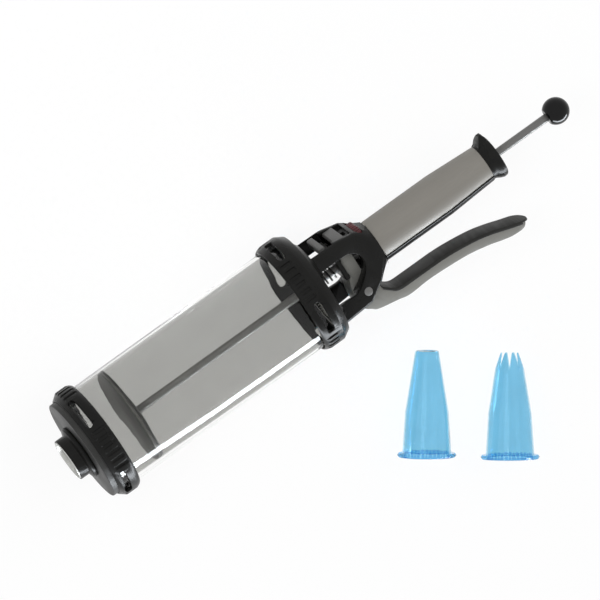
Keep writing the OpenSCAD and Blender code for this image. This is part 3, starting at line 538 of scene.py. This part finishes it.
class SYRINGE_OT_nozzles(bpy.types.Operator):
    """Round the plain nozzle's edges, keep the star nozzle's sharp, and deepen both flanges' blue"""
    bl_idname = "syringe.nozzles"
    bl_label = "Nozzles"

    def execute(self, context):
        shape = context.scene.syringe_shape
        tint_flange(softened("nozzle_plain", "plain_nozzle_moulding", shape.clear_edge), PLAIN_TIP_R)
        tint_flange(softened("nozzle_star", "star_nozzle_moulding", 0.0), STAR_TIP_R)
        return {"FINISHED"}


class SYRINGE_OT_carried(bpy.types.Operator):
    """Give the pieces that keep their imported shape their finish"""
    bl_idname = "syringe.carried"
    bl_label = "Carried pieces"

    def execute(self, context):
        for node, obj in frame["nodes"].items():
            if not obj.hide_render:
                paint(obj, slot_of(node))
        return {"FINISHED"}


# Stage

WHITE = (1, 1, 1, 1)
WORLD_LIGHT = 0.55
TABLE_GAP = 0.02 * MM
TABLE_CENTRE = (0.2, -0.05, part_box("front_collar")[0].z - TABLE_GAP)
TABLE_HALF_WIDTH = 3.0
TABLE_ROUGHNESS = 0.9
TABLE_WHITE_SHARE = 0.9


def seen_directly(tree):
    """1 for what the camera, a reflection or a clear piece shows, and 0 for light on the object."""
    path = add(tree, "ShaderNodeLightPath")
    seen = calc(tree, "MAXIMUM", path.outputs["Is Camera Ray"], path.outputs["Is Glossy Ray"])
    return calc(tree, "MAXIMUM", seen, path.outputs["Is Transmission Ray"])


def table(scene):
    """A pale table that shows almost white and keeps the object's shadow."""
    mat = bpy.data.materials.new("table")
    tree = empty_tree(mat)
    matte = add(tree, "ShaderNodeBsdfPrincipled",
                [("Base Color", (*scene.syringe_finish.table, 1)), ("Roughness", TABLE_ROUGHNESS)])
    white = add(tree, "ShaderNodeEmission", [("Color", WHITE), ("Strength", 1.0)])
    share = calc(tree, "MULTIPLY", seen_directly(tree), TABLE_WHITE_SHARE)
    both = mixed(tree, share, matte.outputs["BSDF"], white.outputs["Emission"])
    add(tree, "ShaderNodeOutputMaterial", [("Surface", both)])
    bm = bmesh.new()
    bmesh.ops.create_grid(bm, x_segments=1, y_segments=1, size=TABLE_HALF_WIDTH)
    bmesh.ops.translate(bm, verts=bm.verts, vec=TABLE_CENTRE)
    mesh = mesh_from(bm, "table")
    mesh.materials.append(mat)
    in_scene("table", mesh)


def studio(scene):
    """A world that lights softly and shows white."""
    scene.world = bpy.data.worlds.new("studio")
    tree = empty_tree(scene.world)
    soft = add(tree, "ShaderNodeBackground", [("Color", WHITE), ("Strength", WORLD_LIGHT)])
    white = add(tree, "ShaderNodeBackground", [("Color", WHITE), ("Strength", 1.0)])
    both = mixed(tree, seen_directly(tree), soft.outputs["Background"], white.outputs["Background"])
    add(tree, "ShaderNodeOutputWorld", [("Surface", both)])


# Name, place, watts, width and height, colour, and whether it lights or only shows in reflections
LAMPS = (("key", (-0.5, 0.9, 1.5), 14.0, (0.9, 0.9), (1.0, 1.0, 1.0), True),
         ("fill", (1.2, 0.2, 1.2), 7.0, (1.2, 1.2), (1.0, 1.0, 1.0), True),
         ("low_strip", (0.2, -1.3, 0.14), 60.0, (2.4, 0.36), (0.90, 0.95, 1.0), False))
LAMP_AIM = Vector((0.2, 0, 0))


def lamps():
    """Two soft lamps that give no highlights, and a low strip that gives nothing but highlights."""
    for name, where, power, size, tint, soft in LAMPS:
        data = bpy.data.lights.new(name, "AREA")
        data.shape = "RECTANGLE"
        data.energy = power
        data.size, data.size_y = size
        data.color = tint
        obj = in_scene(name, data)
        obj.visible_glossy = not soft
        obj.visible_diffuse = soft
        obj.location = where
        obj.rotation_mode = "QUATERNION"
        obj.rotation_quaternion = (LAMP_AIM - Vector(where)).to_track_quat("-Z", "Y")


VIEW_RIGHT = Vector((0.8045, -0.4923, 0.3310)).normalized()
VIEW_BACK = Vector((-0.1392, 0.3858, 0.9110)).normalized()
VIEW_UP = VIEW_BACK.cross(VIEW_RIGHT).normalized()
VIEW_WIDTH = 0.4248
AXIS_POINT = Vector((0.1086, 0, 0))
SHIFT_RIGHT, SHIFT_UP = 0.07928, 0.05186
VIEW_CENTRE = AXIS_POINT + SHIFT_RIGHT * VIEW_RIGHT + SHIFT_UP * VIEW_UP
CAMERA_DISTANCE = 12.0
CAMERA_NEAR, CAMERA_FAR = 0.1, 40.0
SENSOR_WIDTH = 36.0


def camera(scene):
    data = bpy.data.cameras.new("camera")
    data.sensor_width = SENSOR_WIDTH
    data.lens = data.sensor_width * CAMERA_DISTANCE / VIEW_WIDTH
    data.clip_start, data.clip_end = CAMERA_NEAR, CAMERA_FAR
    obj = in_scene("camera", data)
    turn = Matrix((VIEW_RIGHT, VIEW_UP, VIEW_BACK)).transposed()
    obj.matrix_world = Matrix.Translation(VIEW_CENTRE + CAMERA_DISTANCE * VIEW_BACK) @ turn.to_4x4()
    scene.camera = obj


class SYRINGE_OT_stage(bpy.types.Operator):
    """Set the table, the world's light, the lamps and the camera"""
    bl_idname = "syringe.stage"
    bl_label = "Table, lamps and camera"

    def execute(self, context):
        scene = context.scene
        scene.view_settings.view_transform = "Standard"
        table(scene)
        studio(scene)
        lamps()
        camera(scene)
        return {"FINISHED"}


# Add-on

STEPS = (SYRINGE_OT_barrel, SYRINGE_OT_nose, SYRINGE_OT_plunger, SYRINGE_OT_body, SYRINGE_OT_controls,
         SYRINGE_OT_lever, SYRINGE_OT_nozzles, SYRINGE_OT_carried, SYRINGE_OT_stage)


class SYRINGE_PT_pieces(bpy.types.Panel):
    bl_idname = "SYRINGE_PT_pieces"
    bl_label = "Pastry syringe"
    bl_space_type = "VIEW_3D"
    bl_region_type = "UI"
    bl_category = "Syringe"

    def draw(self, context):
        for settings in (context.scene.syringe_finish, context.scene.syringe_shape):
            for key in settings.__annotations__:
                self.layout.prop(settings, key)
        for step in STEPS:
            self.layout.operator(step.bl_idname)


CLASSES = (FinishSettings, ShapeSettings, *STEPS, SYRINGE_PT_pieces)


def register():
    for cls in CLASSES:
        bpy.utils.register_class(cls)
    bpy.types.Scene.syringe_finish = PointerProperty(type=FinishSettings)
    bpy.types.Scene.syringe_shape = PointerProperty(type=ShapeSettings)


def unregister():
    del bpy.types.Scene.syringe_shape
    del bpy.types.Scene.syringe_finish
    for cls in reversed(CLASSES):
        bpy.utils.unregister_class(cls)


def main():
    register()
    for step in STEPS:
        group, name = step.bl_idname.split(".")
        getattr(getattr(bpy.ops, group), name)()
    bpy.context.view_layer.update()


if __name__ == "__main__":
    main()
